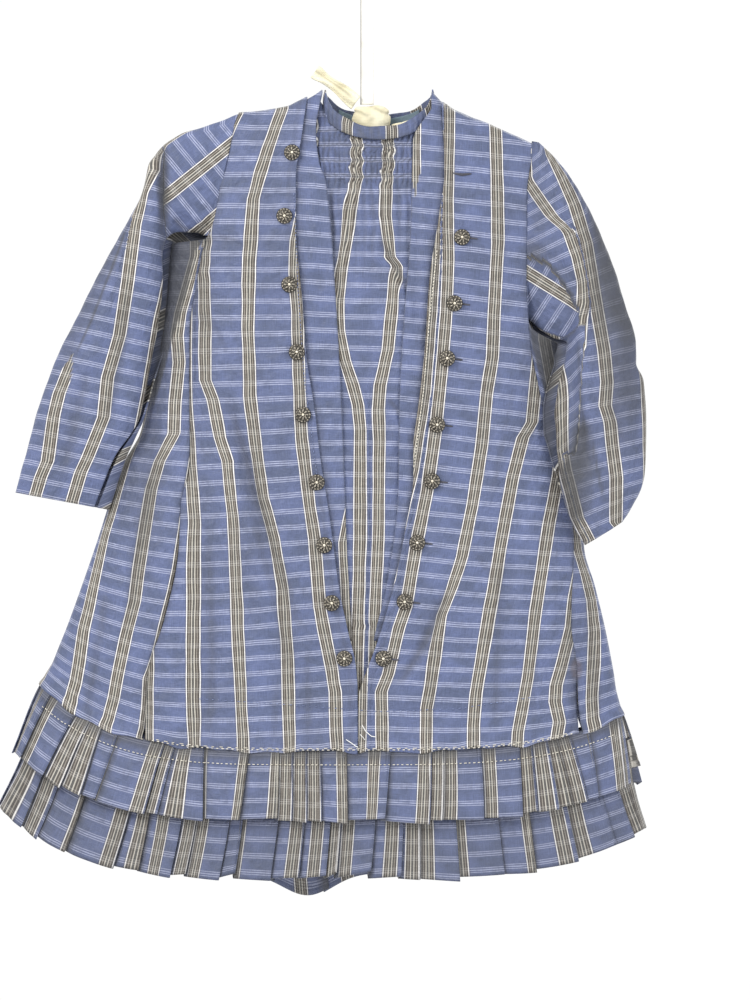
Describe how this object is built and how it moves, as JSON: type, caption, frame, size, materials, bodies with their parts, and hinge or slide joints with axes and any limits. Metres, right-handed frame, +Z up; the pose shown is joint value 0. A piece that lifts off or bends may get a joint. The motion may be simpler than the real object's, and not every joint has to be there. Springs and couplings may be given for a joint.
{
  "type": "child's checked front-buttoned day dress with a double pleated flounce, without bustle drapery, hanging on a padded hanger",
  "caption": "Child's long-sleeved checked dress with open fronts over a gathered vest, button rows and two pleated flounces, hung flat from a tape loop.",
  "frame": {"origin": "top of the tape loop, where a hook holds the dress up", "axes": "+Z up, -Y out of the fronts, +X to the wearer's left"},
  "size_m": [0.5198, 0.1366, 0.7483],
  "materials": {
    "checked_cloth": "matte",
    "lining_cloth": "matte",
    "hanger_cotton": "matte",
    "hanging_tape": "matte",
    "button_metal": "satin"
  },
  "bodies": {
    "root": {"back": "checked_cloth", "front_right": "checked_cloth", "front_left": "checked_cloth", "side_right": "checked_cloth", "side_left": "checked_cloth", "vest": "checked_cloth", "vest_strip_right": "checked_cloth", "vest_strip_left": "checked_cloth", "collar": "checked_cloth", "neck_lining": "lining_cloth", "upper_sleeve_right": "checked_cloth", "upper_sleeve_left": "checked_cloth", "under_sleeve_right": "checked_cloth", "under_sleeve_left": "checked_cloth", "flounce_upper": "checked_cloth", "flounce_lower": "checked_cloth", "button_right_1": "button_metal", "button_right_2": "button_metal", "button_right_3": "button_metal", "button_right_4": "button_metal", "button_right_5": "button_metal", "button_right_6": "button_metal", "button_right_7": "button_metal", "button_right_8": "button_metal", "button_right_9": "button_metal", "button_left_1": "button_metal", "button_left_2": "button_metal", "button_left_3": "button_metal", "button_left_4": "button_metal", "button_left_5": "button_metal", "button_left_6": "button_metal", "button_left_7": "button_metal", "button_left_8": "button_metal", "hanger_arm_right": "hanger_cotton", "hanger_arm_left": "hanger_cotton", "hanger_wrap": "hanger_cotton", "hanger_tie": "hanger_cotton", "hanger_tape": "hanging_tape", "hanger_loop": "hanging_tape"}
  },
  "joints": []
}
